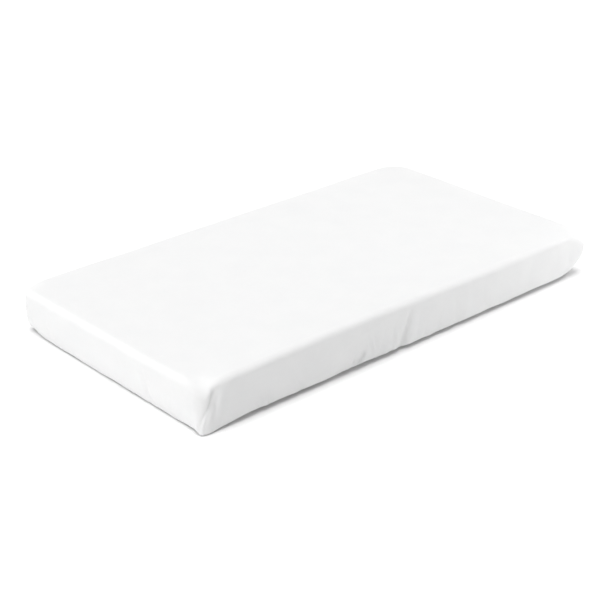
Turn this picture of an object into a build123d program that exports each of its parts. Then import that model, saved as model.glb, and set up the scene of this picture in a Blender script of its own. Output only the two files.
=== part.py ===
"""A flat, rectangular changing pad in a fitted cover. Millimetres, +Z up.

The pad is a foam block in a wipe-clean inner case. The case closes with a zip that runs lengthwise
along the middle of its underside. Over the case goes a one-piece fitted cover, whose elastic hem
turns in under the pad.

The origin is on the surface that the pad rests on, below the pad's middle. X runs along the pad,
from the foot end to the head end, and Y runs across it, from the front long side to the rear one.
"""

from build123d import *
import os

# ---------------------------------------------------------------- driving dimensions

PAD_LENGTH = 786.0
PAD_WIDTH = 430.0
PAD_HEIGHT = 70.0

# Fitted cover
COVER_T = 1.2
COVER_CORNER_R = 17.0
COVER_TOP_R = 13.0
COVER_BOTTOM_R = 10.0
HEM_RETURN = 50.0
OPENING_R = 40.0
CASING_WIDTH = 12.0
CASING_T = 2.0
CASING_SKIN = 0.4
CASING_SEWING = 0.5
ELASTIC_WIDTH = 8.0
ELASTIC_T = 1.0
SEAM_FIN_DEPTH = 3.2
SEAM_FIN_T = 1.2
SEAM_FIN_GAP = 0.05

# Inner case and foam
CASE_GAP = 0.3
CASE_T = 1.0
CASE_LOW = 2.1
CASE_CORNER_R = 24.0
CASE_TOP_R = 11.5
CASE_BOTTOM_R = 8.5
TOP_SEAM_Z = 55.0
BOTTOM_SEAM_Z = 12.0
FOAM_GAP = 0.1
TAPE_ROOM = (2.0, 0.5)
SLIDER_ROOM = (4.0, 1.0, 0.6)
CUT_PAST = 1.0

# Shallow valley in the underside, which keeps the zip off the table
VALLEY_LENGTH = 616.0
VALLEY_WIDTH = 34.0
VALLEY_DEPTH = 2.8
VALLEY_SLOPE = 14.0
VALLEY_R = 8.0

# Zip: two tapes, a coil on each, end stops, end tabs, a slider and its pull
ZIP_LENGTH = 560.0
TAPE_END = 12.0
TAPE_T = 0.6
TAPE_OUTER_Y = 15.0
CHAIN_GAP = 1.2
COIL_OUTER_Y = 3.0
COIL_T = 2.2
COIL_EDGE_R = 0.8
SLOT_WIDTH = 12.0
SLOT_END = 4.0
STOP_LENGTH = 3.0
STOP_OUTER_Y = 3.2
STOP_T = 0.5
TOP_STOP_INNER_Y = 0.1
END_TAB_LENGTH = 18.0
END_TAB_WIDTH = 26.0
END_TAB_T = 0.8
END_TAB_R = 1.5
END_TAB_GAP = 2.0

SLIDER_LENGTH = 14.0
SLIDER_WIDTH = 10.6
SLIDER_PLATE_T = 1.2
SLIDER_CORNER_R = 3.0
SLIDER_FLANGE_Y = 3.3
SLIDER_CLEARANCE = 0.3
STOP_CLEARANCE = 0.5
WEB_T = 1.0
WEB_LENGTH = 5.0
WEB_START = 1.0
BAIL_LENGTH = 9.2
BAIL_WIDTH = 2.2
BAIL_T = 0.6
BAIL_LEG = 0.9
BAIL_DROP = 2.1
BAIL_EDGE_R = 0.5
PULL_LENGTH = 26.0
PULL_WIDTH = 6.8
PULL_T = 1.1
PULL_PIN_R = 0.6
PULL_EYE_LENGTH = 5.0
PULL_EYE_WIDTH = 3.0
PULL_GRIP_LENGTH = 12.0
PULL_GRIP_WIDTH = 3.6
PULL_GRIP_INSET = 2.5
PULL_END_FLAT = 0.2

# Underside trims
DOT_R = 3.0
DOT_PITCH = 32.0
DOT_COLUMNS = 20
DOT_ROWS = (44.0, 76.0, 108.0)
DOT_LOW = 0.1
CASE_LABEL_SIZE = (56.0, 28.0)
CASE_LABEL_PLACE = (-210.0, 138.0)
LABEL_T = 0.5
COVER_LABEL_SIZE = (38.0, 26.0)
COVER_LABEL_X = 150.0
COVER_LABEL_Z = 0.7

# ---------------------------------------------------------------- worked-out heights and places

OPENING_LENGTH = PAD_LENGTH - 2 * HEM_RETURN
OPENING_WIDTH = PAD_WIDTH - 2 * HEM_RETURN
CASE_LENGTH = PAD_LENGTH - 2 * (COVER_T + CASE_GAP)
CASE_WIDTH = PAD_WIDTH - 2 * (COVER_T + CASE_GAP)
CASE_HIGH = PAD_HEIGHT - COVER_T - CASE_GAP

VALLEY_FACE_Z = CASE_LOW + VALLEY_DEPTH
TAPE_LOW = VALLEY_FACE_Z + CASE_T
TAPE_HIGH = TAPE_LOW + TAPE_T
COIL_LOW = TAPE_LOW - COIL_T
CHAIN_END = ZIP_LENGTH / 2
COIL_END = CHAIN_END - STOP_LENGTH

OUTER_PLATE_HIGH = COIL_LOW - SLIDER_CLEARANCE
OUTER_PLATE_LOW = OUTER_PLATE_HIGH - SLIDER_PLATE_T
INNER_PLATE_LOW = TAPE_HIGH + SLIDER_CLEARANCE
INNER_PLATE_HIGH = INNER_PLATE_LOW + SLIDER_PLATE_T
BAIL_LOW = OUTER_PLATE_LOW - BAIL_DROP
PIN_Z = (BAIL_LOW + BAIL_T + OUTER_PLATE_LOW) / 2
SLIDER_X = COIL_END - STOP_CLEARANCE - SLIDER_LENGTH / 2

os.makedirs("parts", exist_ok=True)


# ---------------------------------------------------------------- shared shapes


def slab(length, width, corner_r, low, high, top_r, bottom_r):
    """A slab with upright rounded corners and rounded top and bottom edges."""
    with BuildPart() as body:
        with BuildSketch(Plane.XY.offset(low)):
            RectangleRounded(length, width, corner_r)
        extrude(amount=high - low)
        fillet(body.faces().sort_by(Axis.Z)[-1].edges(), top_r)
        fillet(body.faces().sort_by(Axis.Z)[0].edges(), bottom_r)
    return body.part


def valley(low):
    """The tapered hollow over the zip: widest at the height low, narrowest one depth above it."""
    with BuildPart() as body:
        with BuildSketch(Plane.XY.offset(low)):
            RectangleRounded(
                VALLEY_LENGTH + 2 * VALLEY_SLOPE,
                VALLEY_WIDTH + 2 * VALLEY_SLOPE,
                VALLEY_R + VALLEY_SLOPE,
            )
        with BuildSketch(Plane.XY.offset(low + VALLEY_DEPTH)):
            RectangleRounded(VALLEY_LENGTH, VALLEY_WIDTH, VALLEY_R)
        loft()
    return body.part


def box(x_range, y_range, z_range, mode=Mode.ADD):
    """A block between two corners, added to or cut from the part being built."""
    ranges = (x_range, y_range, z_range)
    size = [high - low for low, high in ranges]
    middle = tuple((low + high) / 2 for low, high in ranges)
    with Locations(middle):
        Box(*size, mode=mode)


def save(part, name):
    """Labels a finished piece and writes it as its own STEP file."""
    part.label = name
    export_step(part, f"parts/{name}.step")


cover_outside = slab(
    PAD_LENGTH, PAD_WIDTH, COVER_CORNER_R, 0, PAD_HEIGHT, COVER_TOP_R, COVER_BOTTOM_R
)
cover_inside = slab(
    PAD_LENGTH - 2 * COVER_T,
    PAD_WIDTH - 2 * COVER_T,
    COVER_CORNER_R - COVER_T,
    COVER_T,
    PAD_HEIGHT - COVER_T,
    COVER_TOP_R - COVER_T,
    COVER_BOTTOM_R - COVER_T,
)
case_outside = slab(
    CASE_LENGTH, CASE_WIDTH, CASE_CORNER_R, CASE_LOW, CASE_HIGH, CASE_TOP_R, CASE_BOTTOM_R
)
case_inside = slab(
    CASE_LENGTH - 2 * CASE_T,
    CASE_WIDTH - 2 * CASE_T,
    CASE_CORNER_R - CASE_T,
    CASE_LOW + CASE_T,
    CASE_HIGH - CASE_T,
    CASE_TOP_R - CASE_T,
    CASE_BOTTOM_R - CASE_T,
)
foam_shrink = CASE_T + FOAM_GAP
foam_outside = slab(
    CASE_LENGTH - 2 * foam_shrink,
    CASE_WIDTH - 2 * foam_shrink,
    CASE_CORNER_R - foam_shrink,
    CASE_LOW + foam_shrink,
    CASE_HIGH - foam_shrink,
    CASE_TOP_R - foam_shrink,
    CASE_BOTTOM_R - foam_shrink,
)
valley_outer = valley(CASE_LOW)
valley_inner = valley(CASE_LOW + CASE_T)
valley_foam = valley(CASE_LOW + foam_shrink)

# ---------------------------------------------------------------- foam core

# The foam is one block. The valley, the zip tapes and the slider press into its underside.
with BuildPart() as foam_core:
    add(foam_outside)
    add(valley_foam, mode=Mode.SUBTRACT)
    box(
        (-CHAIN_END - TAPE_END - TAPE_ROOM[0], CHAIN_END + TAPE_END + TAPE_ROOM[0]),
        (-TAPE_OUTER_Y - TAPE_ROOM[1], TAPE_OUTER_Y + TAPE_ROOM[1]),
        (CASE_LOW, TAPE_HIGH + FOAM_GAP),
        Mode.SUBTRACT,
    )
    box(
        (-CHAIN_END - SLIDER_ROOM[0], CHAIN_END + SLIDER_ROOM[0]),
        (-SLIDER_WIDTH / 2 - SLIDER_ROOM[1], SLIDER_WIDTH / 2 + SLIDER_ROOM[1]),
        (CASE_LOW, INNER_PLATE_HIGH + SLIDER_ROOM[2]),
        Mode.SUBTRACT,
    )
save(foam_core.part, "foam_core")

# ---------------------------------------------------------------- inner case

# Top panel: the flat face and its rounded edge, down to the upper seam.
with BuildPart() as case_top_panel:
    add(case_outside)
    add(case_inside, mode=Mode.SUBTRACT)
    split(bisect_by=Plane.XY.offset(TOP_SEAM_Z), keep=Keep.TOP)
save(case_top_panel.part, "case_top_panel")

# Boxing: the band round the four sides, between the upper and the lower seam.
with BuildPart() as case_boxing:
    add(case_outside)
    add(case_inside, mode=Mode.SUBTRACT)
    split(bisect_by=Plane.XY.offset(TOP_SEAM_Z), keep=Keep.BOTTOM)
    split(bisect_by=Plane.XY.offset(BOTTOM_SEAM_Z), keep=Keep.TOP)
save(case_boxing.part, "case_boxing")

# Bottom panels: they meet in a seam at each end, and the zip joins them in between.
with BuildPart() as case_bottom:
    add(case_outside)
    add(case_inside, mode=Mode.SUBTRACT)
    split(bisect_by=Plane.XY.offset(BOTTOM_SEAM_Z), keep=Keep.BOTTOM)
    add(valley_inner)
    add(valley_outer, mode=Mode.SUBTRACT)
    box(
        (-CHAIN_END - SLOT_END, CHAIN_END + SLOT_END),
        (-SLOT_WIDTH / 2, SLOT_WIDTH / 2),
        (CASE_LOW - CUT_PAST, TAPE_LOW + CUT_PAST),
        Mode.SUBTRACT,
    )

with BuildPart() as case_bottom_front:
    add(case_bottom.part)
    split(bisect_by=Plane.XZ, keep=Keep.TOP)
save(case_bottom_front.part, "case_bottom_front")

with BuildPart() as case_bottom_rear:
    add(case_bottom.part)
    split(bisect_by=Plane.XZ, keep=Keep.BOTTOM)
save(case_bottom_rear.part, "case_bottom_rear")

# A blank care label, sewn flat on the rear bottom panel.
with BuildPart() as case_label:
    with BuildSketch(Plane.XY.offset(CASE_LOW - LABEL_T)):
        with Locations(CASE_LABEL_PLACE):
            Rectangle(*CASE_LABEL_SIZE)
    extrude(amount=LABEL_T)
save(case_label.part, "case_label")

# Soft anti-slip dots, in rows on both bottom panels.
dot_places = [
    ((column - (DOT_COLUMNS - 1) / 2) * DOT_PITCH, side * row)
    for column in range(DOT_COLUMNS)
    for row in DOT_ROWS
    for side in (-1, 1)
]
with BuildPart() as grip_dots:
    with BuildSketch(Plane.XY.offset(DOT_LOW)):
        with Locations(*dot_places):
            Circle(DOT_R)
    extrude(amount=CASE_LOW - DOT_LOW)
save(grip_dots.part, "grip_dots")

# ---------------------------------------------------------------- zip

# Each half of the zip is a woven tape, sewn above its bottom panel, with a coil along its inner edge.
for half, side in (("front", -1), ("rear", 1)):
    with BuildPart() as zip_tape:
        box(
            (-CHAIN_END - TAPE_END, CHAIN_END + TAPE_END),
            sorted((side * CHAIN_GAP / 2, side * TAPE_OUTER_Y)),
            (TAPE_LOW, TAPE_HIGH),
        )
    save(zip_tape.part, f"zip_tape_{half}")

    with BuildPart() as zip_coil:
        box(
            (-COIL_END, COIL_END),
            sorted((side * CHAIN_GAP / 2, side * COIL_OUTER_Y)),
            (COIL_LOW, TAPE_LOW),
        )
        fillet(zip_coil.edges().filter_by(Axis.X).group_by(Axis.Z)[0], COIL_EDGE_R)
    save(zip_coil.part, f"zip_coil_{half}")

# Top stops: a small clip on each tape, where the slider rests when the case is closed.
with BuildPart() as zip_top_stops:
    for side in (-1, 1):
        box(
            (COIL_END, CHAIN_END),
            sorted((side * TOP_STOP_INNER_Y, side * STOP_OUTER_Y)),
            (COIL_LOW, TAPE_HIGH + STOP_T),
        )
        box(
            (COIL_END, CHAIN_END),
            sorted((side * CHAIN_GAP / 2, side * STOP_OUTER_Y)),
            (TAPE_LOW, TAPE_HIGH),
            Mode.SUBTRACT,
        )
save(zip_top_stops.part, "zip_top_stops")

# Bottom stop: one clip that holds both tapes together at the other end.
with BuildPart() as zip_bottom_stop:
    box(
        (-CHAIN_END, -COIL_END),
        (-STOP_OUTER_Y, STOP_OUTER_Y),
        (COIL_LOW, TAPE_HIGH + STOP_T),
    )
    for side in (-1, 1):
        box(
            (-CHAIN_END, -COIL_END),
            sorted((side * CHAIN_GAP / 2, side * STOP_OUTER_Y)),
            (TAPE_LOW, TAPE_HIGH),
            Mode.SUBTRACT,
        )
save(zip_bottom_stop.part, "zip_bottom_stop")

# End tabs: a strip of cloth sewn across the panel seam at each end of the zip.
with BuildPart() as zip_end_tabs:
    with BuildSketch(Plane.XY.offset(VALLEY_FACE_Z - END_TAB_T)):
        with GridLocations(ZIP_LENGTH + END_TAB_LENGTH + 2 * END_TAB_GAP, 0, 2, 1):
            RectangleRounded(END_TAB_LENGTH, END_TAB_WIDTH, END_TAB_R)
    extrude(amount=END_TAB_T)
save(zip_end_tabs.part, "zip_end_tabs")

# Slider: two plates round the chain, joined by a thin web between the coils, with a bail below.
with BuildPart() as zip_slider:
    with BuildSketch(Plane.XY.offset(OUTER_PLATE_LOW)):
        with Locations((SLIDER_X, 0)):
            RectangleRounded(SLIDER_LENGTH, SLIDER_WIDTH, SLIDER_CORNER_R)
    extrude(amount=TAPE_LOW - SLIDER_CLEARANCE - OUTER_PLATE_LOW)
    box(
        (SLIDER_X - SLIDER_LENGTH, SLIDER_X + SLIDER_LENGTH),
        (-SLIDER_FLANGE_Y, SLIDER_FLANGE_Y),
        (OUTER_PLATE_HIGH, TAPE_LOW),
        Mode.SUBTRACT,
    )
    with BuildSketch(Plane.XY.offset(INNER_PLATE_LOW)):
        with Locations((SLIDER_X, 0)):
            RectangleRounded(SLIDER_LENGTH, SLIDER_WIDTH, SLIDER_CORNER_R)
    extrude(amount=SLIDER_PLATE_T)
    box(
        (SLIDER_X + WEB_START, SLIDER_X + WEB_START + WEB_LENGTH),
        (-WEB_T / 2, WEB_T / 2),
        (OUTER_PLATE_HIGH, INNER_PLATE_LOW),
    )
    with BuildSketch(Plane.XZ.offset(-BAIL_WIDTH / 2)):
        with Locations((SLIDER_X, (BAIL_LOW + OUTER_PLATE_LOW) / 2)):
            Rectangle(BAIL_LENGTH, BAIL_DROP)
        with Locations((SLIDER_X, (BAIL_LOW + BAIL_T + OUTER_PLATE_LOW) / 2)):
            Rectangle(BAIL_LENGTH - 2 * BAIL_LEG, BAIL_DROP - BAIL_T, mode=Mode.SUBTRACT)
    extrude(amount=BAIL_WIDTH)
    fillet(zip_slider.edges().filter_by(Axis.Y).group_by(Axis.Z)[0], BAIL_EDGE_R)
save(zip_slider.part, "zip_slider")

# Pull: a flat tab whose round end bar passes through the bail, so that it flips end for end.
with BuildPart() as zip_pull:
    with BuildSketch(Plane.XY.offset(PIN_Z - PULL_T / 2)) as pull_outline:
        with Locations((SLIDER_X - PULL_LENGTH / 2, 0)):
            Rectangle(PULL_LENGTH, PULL_WIDTH)
        fillet(pull_outline.vertices().group_by(Axis.X)[0], PULL_WIDTH / 2 - PULL_END_FLAT)
        with Locations((SLIDER_X - PULL_EYE_LENGTH / 2 - PULL_PIN_R, 0)):
            Rectangle(PULL_EYE_LENGTH, PULL_EYE_WIDTH, mode=Mode.SUBTRACT)
        with Locations((SLIDER_X - PULL_LENGTH + PULL_GRIP_LENGTH / 2 + PULL_GRIP_INSET, 0)):
            SlotOverall(PULL_GRIP_LENGTH, PULL_GRIP_WIDTH, mode=Mode.SUBTRACT)
    extrude(amount=PULL_T)
    with BuildSketch(Plane.XZ.offset(-PULL_WIDTH / 2)):
        with Locations((SLIDER_X, PIN_Z)):
            Circle(PULL_PIN_R)
    extrude(amount=PULL_WIDTH)
save(zip_pull.part, "zip_pull")

# ---------------------------------------------------------------- fitted cover

# The cover is one tight skin over the top and sides. It turns in under the pad by the hem return,
# and ends in a flat casing round the opening that the pad goes in through.
with BuildPart() as fitted_cover:
    add(cover_outside)
    add(cover_inside, mode=Mode.SUBTRACT)
    with BuildSketch(Plane.XY):
        RectangleRounded(
            OPENING_LENGTH + 2 * CASING_WIDTH,
            OPENING_WIDTH + 2 * CASING_WIDTH,
            OPENING_R + CASING_WIDTH,
        )
    extrude(amount=CASING_T)
    with BuildSketch(Plane.XY):
        RectangleRounded(OPENING_LENGTH, OPENING_WIDTH, OPENING_R)
    extrude(amount=CASING_T, mode=Mode.SUBTRACT)
    casing_wall = (CASING_WIDTH - ELASTIC_WIDTH) / 2 - CASING_SEWING
    with BuildSketch(Plane.XY.offset(CASING_SKIN)):
        RectangleRounded(
            OPENING_LENGTH + 2 * (CASING_WIDTH - casing_wall),
            OPENING_WIDTH + 2 * (CASING_WIDTH - casing_wall),
            OPENING_R + CASING_WIDTH - casing_wall,
        )
        RectangleRounded(
            OPENING_LENGTH + 2 * casing_wall,
            OPENING_WIDTH + 2 * casing_wall,
            OPENING_R + casing_wall,
            mode=Mode.SUBTRACT,
        )
    extrude(amount=CASING_T - 2 * CASING_SKIN, mode=Mode.SUBTRACT)
save(fitted_cover.part, "fitted_cover")

# Hem elastic: a flat band, joined into a ring, that lies inside the casing.
with BuildPart() as hem_elastic:
    elastic_inset = (CASING_WIDTH - ELASTIC_WIDTH) / 2
    with BuildSketch(Plane.XY.offset((CASING_T - ELASTIC_T) / 2)):
        RectangleRounded(
            OPENING_LENGTH + 2 * (elastic_inset + ELASTIC_WIDTH),
            OPENING_WIDTH + 2 * (elastic_inset + ELASTIC_WIDTH),
            OPENING_R + elastic_inset + ELASTIC_WIDTH,
        )
        RectangleRounded(
            OPENING_LENGTH + 2 * elastic_inset,
            OPENING_WIDTH + 2 * elastic_inset,
            OPENING_R + elastic_inset,
            mode=Mode.SUBTRACT,
        )
    extrude(amount=ELASTIC_T)
save(hem_elastic.part, "hem_elastic")

# Seam allowances: the sewn edges at the cover's four corners stand inward, off the case's corners.
with BuildPart() as cover_corner_seams:
    fin_middle_r = COVER_CORNER_R - COVER_T - SEAM_FIN_GAP - SEAM_FIN_DEPTH / 2
    for x_side in (-1, 1):
        for y_side in (-1, 1):
            corner_x = x_side * (PAD_LENGTH / 2 - COVER_CORNER_R)
            corner_y = y_side * (PAD_WIDTH / 2 - COVER_CORNER_R)
            outward = y_side * (90 - 45 * x_side)
            with BuildSketch(Plane.XY.offset(BOTTOM_SEAM_Z)):
                with Locations(Location((corner_x, corner_y), outward)):
                    with Locations((fin_middle_r, 0)):
                        Rectangle(SEAM_FIN_DEPTH, SEAM_FIN_T)
            extrude(amount=TOP_SEAM_Z - BOTTOM_SEAM_Z)
save(cover_corner_seams.part, "cover_corner_seams")

# A blank care label, caught in the hem seam and lying flat under the pad.
with BuildPart() as cover_label:
    label_length, label_depth = COVER_LABEL_SIZE
    with BuildSketch(Plane.XY.offset(COVER_LABEL_Z)):
        with Locations((COVER_LABEL_X, (label_depth - OPENING_WIDTH) / 2)):
            Rectangle(label_length, label_depth)
    extrude(amount=LABEL_T)
save(cover_label.part, "cover_label")
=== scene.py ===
"""Looks for a flat changing pad in a white fitted cover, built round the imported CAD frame.

Metres, +Z up. The origin is on the table below the middle of the pad. X runs along the pad,
and -Y is its front long side. The cover is worked out as two grids of points: the flat top, and
the skirt that goes on from the top's rim, down the sides and in under the pad to the elastic hem.
"""

import math

import bpy
import numpy as np
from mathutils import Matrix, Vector


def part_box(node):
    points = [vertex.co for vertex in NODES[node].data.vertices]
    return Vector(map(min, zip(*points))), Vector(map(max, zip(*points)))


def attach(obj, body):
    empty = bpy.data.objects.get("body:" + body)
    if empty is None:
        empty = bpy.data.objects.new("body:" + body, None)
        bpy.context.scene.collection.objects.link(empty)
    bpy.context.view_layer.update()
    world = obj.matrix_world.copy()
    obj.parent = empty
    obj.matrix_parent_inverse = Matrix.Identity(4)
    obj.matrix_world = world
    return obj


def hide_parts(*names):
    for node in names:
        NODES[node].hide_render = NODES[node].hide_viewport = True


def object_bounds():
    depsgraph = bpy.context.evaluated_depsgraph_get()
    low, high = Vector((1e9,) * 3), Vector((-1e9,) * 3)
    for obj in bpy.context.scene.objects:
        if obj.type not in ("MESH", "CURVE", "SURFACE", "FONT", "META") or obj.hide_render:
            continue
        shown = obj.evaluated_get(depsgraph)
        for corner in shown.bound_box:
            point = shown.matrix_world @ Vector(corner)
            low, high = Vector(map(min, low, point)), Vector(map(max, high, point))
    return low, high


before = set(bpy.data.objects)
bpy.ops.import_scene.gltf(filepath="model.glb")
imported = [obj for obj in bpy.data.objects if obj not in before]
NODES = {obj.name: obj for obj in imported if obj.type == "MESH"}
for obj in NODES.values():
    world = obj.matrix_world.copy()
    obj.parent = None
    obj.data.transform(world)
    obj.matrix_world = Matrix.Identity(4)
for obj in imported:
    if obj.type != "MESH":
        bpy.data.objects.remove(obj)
CAD_LOW, CAD_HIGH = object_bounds()
SCENE = bpy.context.scene

# Which side of the zip, or of the underside, a name means, along Y
SIDES = (("front", -1), ("rear", 1))

MM = 0.001
TURN = 2 * math.pi
PAD_LENGTH = CAD_HIGH.x - CAD_LOW.x
PAD_WIDTH = CAD_HIGH.y - CAD_LOW.y
PAD_HEIGHT = CAD_HIGH.z
HALF_LENGTH = PAD_LENGTH / 2
HALF_WIDTH = PAD_WIDTH / 2

# Camera
CAMERA_AZIMUTH = math.radians(-131.9)
CAMERA_ELEVATION = math.radians(25.6)
CAMERA_DISTANCE = 3.044 * PAD_LENGTH
CAMERA_TARGET = Vector((-0.0224 * PAD_LENGTH, 0.0136 * PAD_LENGTH, 0))
CAMERA_LENS = 92.7
CAMERA_CLIP = (0.05, 100)

# Stage. Each light has a kind, a place, a target, a power and its size.
SKY_STRENGTH = 0.352
FLOOR_REACH = 20.0
LIGHTS = {
    "key": ("SUN", (-0.08, 0.16, 2.6), (0, 0, 0), 2.5, {"angle": math.radians(50)}),
    "side": ("SUN", (-2.6, 0.05, 0.42), (0, 0, 0), 1.14, {"angle": math.radians(25)}),
    "fill": (
        "AREA", (0.78, -0.62, 0.12), (0.3, -0.2, 0.03), 1.3, {"shape": "SQUARE", "size": 0.22},
    ),
}

# Cover cloth: thickness, edge radii, and the half lengths and corner radius of the hem's ring
CLOTH_T = 0.7 * MM
CASING_T = 1.6 * MM
CORNER_R = 18 * MM
TOP_EDGE_R = 10 * MM
FOLD_R = 5 * MM
HEM_OUTLINE = (HALF_LENGTH - 50 * MM, HALF_WIDTH - 50 * MM, 40 * MM)

# How high the lower fold and the return stand off the floor
EDGE_LIFT = 4.5 * MM
RETURN_LOW = 0.3 * MM
SETTLE_START = 0.08
SETTLE_RATE = 1.6

# The lower fold near a corner. Where the seam juts out at the floor, it has a sharper, lower tip.
CORNER_REACH = 30 * MM
CORNER_FOLD_R = 10 * MM
CORNER_LIFT = 3.8 * MM
TIP_ROUNDING = 0.4
TIP_WIDTHS = (45 * MM, 7 * MM)
TIP_SHARPENING = 3.5 * MM
TIP_DROP = 3.6 * MM

# The foot end's side leans in at the floor, below a height, and its fold lies lower.
FOOT_START = 25 * MM
FOOT_DROP = 2.2 * MM
FOOT_LEAN = 7.5 * MM
FOOT_LEAN_TOP = 56 * MM

# The front side leans back at the top, more and more towards the head end.
HEAD_START, HEAD_SPAN = 190 * MM, 200 * MM
HEAD_LEAN = 9 * MM
HEAD_LEAN_LOW, HEAD_LEAN_RISE = 26 * MM, 44 * MM
HEAD_LEAN_POWER = 1.8

# The sides: their even bulge, and their lumps' height and size
SIDE_BULGE = 0.8 * MM
SIDE_LUMP, SIDE_LUMP_CELL = 0.25 * MM, 26 * MM

# The top: its crown, its lumps (size, height, seed), and its front edge's bow and headward sink
CROWN = 1.4 * MM
TOP_LUMPS = [(95 * MM, 0.5 * MM, 5), (41 * MM, 0.18 * MM, 6)]
FRONT_BOW, FRONT_BOW_WIDTH = 2.2 * MM, 75 * MM
FOOTWARD_BOW, FOOTWARD_BOW_PLACE, FOOTWARD_BOW_WIDTH = 5 * MM, -175 * MM, 220 * MM
HEAD_SINK, HEAD_SINK_WIDTH = 5 * MM, 26 * MM
HEAD_SINK_START, HEAD_SINK_SPAN = 200 * MM, 150 * MM
CORNER_PULL = (0.35, 0.2)

# The corner seams: where the lean is full, how it grows, and the ridges, or grooves with a minus
# (height, place beside the seam and width, in millimetres)
SEAM_TOP = 58 * MM
LEAN_POWER = 1.7
SEAM_PROFILE = [(1.1, 0, 1.3), (0.7, 5, 1.4), (-1.1, -3.4, 1.5), (-0.7, 2.7, 1.3)]
PUCKER, PUCKER_LENGTH = 0.4 * MM, 7 * MM

# For a seam pushed inward at the floor, and for one pushed out: the push's bluntness and growth
PUSH_SOFTNESS = (14 * MM, 1 * MM)
PUSH_BEND = (2.2, 1.2)

# The return's gathers: spacing, and usual, least and most half height in millimetres
GATHER_LENGTH = 13 * MM
GATHER_SIZE, GATHER_LEAST, GATHER_MOST = 0.4, 0.15, 0.6

# Grid cells, how much finer the outer face is, cells in half a rounded corner, and random lattice
CELL_X = 5.6 * MM
CELL_Y = 8 * MM
FINE = 2
CORNER_CELLS = 4
LATTICE = 64


# ---- stage


def aim(thing, place, target):
    """Puts a camera or a light at a place and points it at a target."""
    thing.location = place
    thing.rotation_euler = (target - place).to_track_quat("-Z", "Y").to_euler()


def add(name, data):
    thing = bpy.data.objects.new(name, data)
    SCENE.collection.objects.link(thing)
    return thing


def make_camera():
    data = bpy.data.cameras.new("camera")
    data.lens = CAMERA_LENS
    data.clip_start, data.clip_end = CAMERA_CLIP
    camera = add("camera", data)
    back = Vector((
        math.cos(CAMERA_AZIMUTH) * math.cos(CAMERA_ELEVATION),
        math.sin(CAMERA_AZIMUTH) * math.cos(CAMERA_ELEVATION),
        math.sin(CAMERA_ELEVATION),
    ))
    aim(camera, CAMERA_TARGET + back * CAMERA_DISTANCE, CAMERA_TARGET)
    SCENE.camera = camera


def make_light(name, kind, place, target, power, sizes):
    data = bpy.data.lights.new(name, kind)
    data.energy = power
    for key, value in sizes.items():
        setattr(data, key, value)
    light = add(name, data)
    aim(light, Vector(place), Vector(target))
    light.visible_camera = False


def make_stage():
    """A wide white floor, a soft white sky and the lights."""
    SCENE.view_settings.view_transform = "Standard"
    world = bpy.data.worlds.new("studio")
    world.use_nodes = True
    background = world.node_tree.nodes["Background"]
    background.inputs["Color"].default_value = (1, 1, 1, 1)
    background.inputs["Strength"].default_value = SKY_STRENGTH
    SCENE.world = world

    mesh = bpy.data.meshes.new("floor")
    ends = (-FLOOR_REACH, FLOOR_REACH)
    mesh.from_pydata([(x, y, 0) for y in ends for x in ends], [], [(0, 1, 3, 2)])
    floor = add("floor", mesh)
    sweep = Nodes("white_sweep", 0.9, Base_Color=(0.97, 0.97, 0.97, 1), Specular_IOR_Level=0.0)
    mesh.materials.append(sweep.material)

    for name, settings in LIGHTS.items():
        make_light(name, *settings)


# ---- cover shape


def smooth(t):
    t = np.clip(t, 0, 1)
    return t * t * (3 - 2 * t)


def bump(distance, width):
    """A soft bump, 1 at distance 0, that has died away at about twice the width."""
    return np.exp(-((distance / width) ** 2))


def graded_line(half, radius, cell):
    """Coordinates from -half to half: even steps of about cell, and equal-angle steps at a
    rounded end."""
    straight = half - radius
    middle = np.linspace(-straight, straight, round(2 * straight / cell) + 1)
    turns = np.radians(np.linspace(0, 45, CORNER_CELLS + 1)[1:])
    end = straight + radius * math.sqrt(2) * np.sin(turns)
    return np.concatenate([-end[::-1], middle, end])


def grid3(x, y, z):
    """Points from their coordinates."""
    return np.stack([x, y, z], -1)


def refine(values, times):
    """Puts times - 1 evenly spaced values between each two of a list."""
    index = np.arange((len(values) - 1) * times + 1) / times
    return np.interp(index, np.arange(len(values)), values)


def round_corners(x, y, half_x, half_y, radius):
    """Moves points of a sharp-cornered rectangle so that its corners become round."""
    a = np.clip((np.abs(x) - (half_x - radius)) / radius, 0, 1)
    b = np.clip((np.abs(y) - (half_y - radius)) / radius, 0, 1)
    inside = (a > 0) & (b > 0)
    round_x = (half_x - radius) + radius * a * np.sqrt(1 - b * b / 2)
    round_y = (half_y - radius) + radius * b * np.sqrt(1 - a * a / 2)
    new_x = np.where(inside, np.sign(x) * round_x, x)
    new_y = np.where(inside, np.sign(y) * round_y, y)
    return new_x, new_y


def rim_of(grid):
    """The rim of a grid of values, counter-clockwise from its first corner."""
    return np.concatenate([grid[0, :-1], grid[:-1, -1], grid[-1, :0:-1], grid[:0:-1, 0]])


def hem_points(side_place, half_x, half_y, radius):
    """Points on a rounded rectangle. side_place runs from 0 to 4, one unit for each quarter of the
    outline from corner to corner, counter-clockwise from the front left corner."""
    side = np.floor(side_place).astype(int) % 4
    along = np.where(side % 2 == 0, half_x, half_y)
    across = np.where(side % 2 == 0, half_y, half_x)
    straight = along - radius
    total = 2 * straight + math.pi / 2 * radius
    s = (side_place - np.floor(side_place)) * total - total / 2
    over = np.clip(np.abs(s) - straight, 0, None) / radius
    flat = np.abs(s) <= straight
    u = np.where(flat, s, np.sign(s) * (straight + radius * np.sin(over)))
    v = np.where(flat, -across, -(across - radius) - radius * np.cos(over))
    turn = side * math.pi / 2
    return u * np.cos(turn) - v * np.sin(turn), u * np.sin(turn) + v * np.cos(turn)


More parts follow.
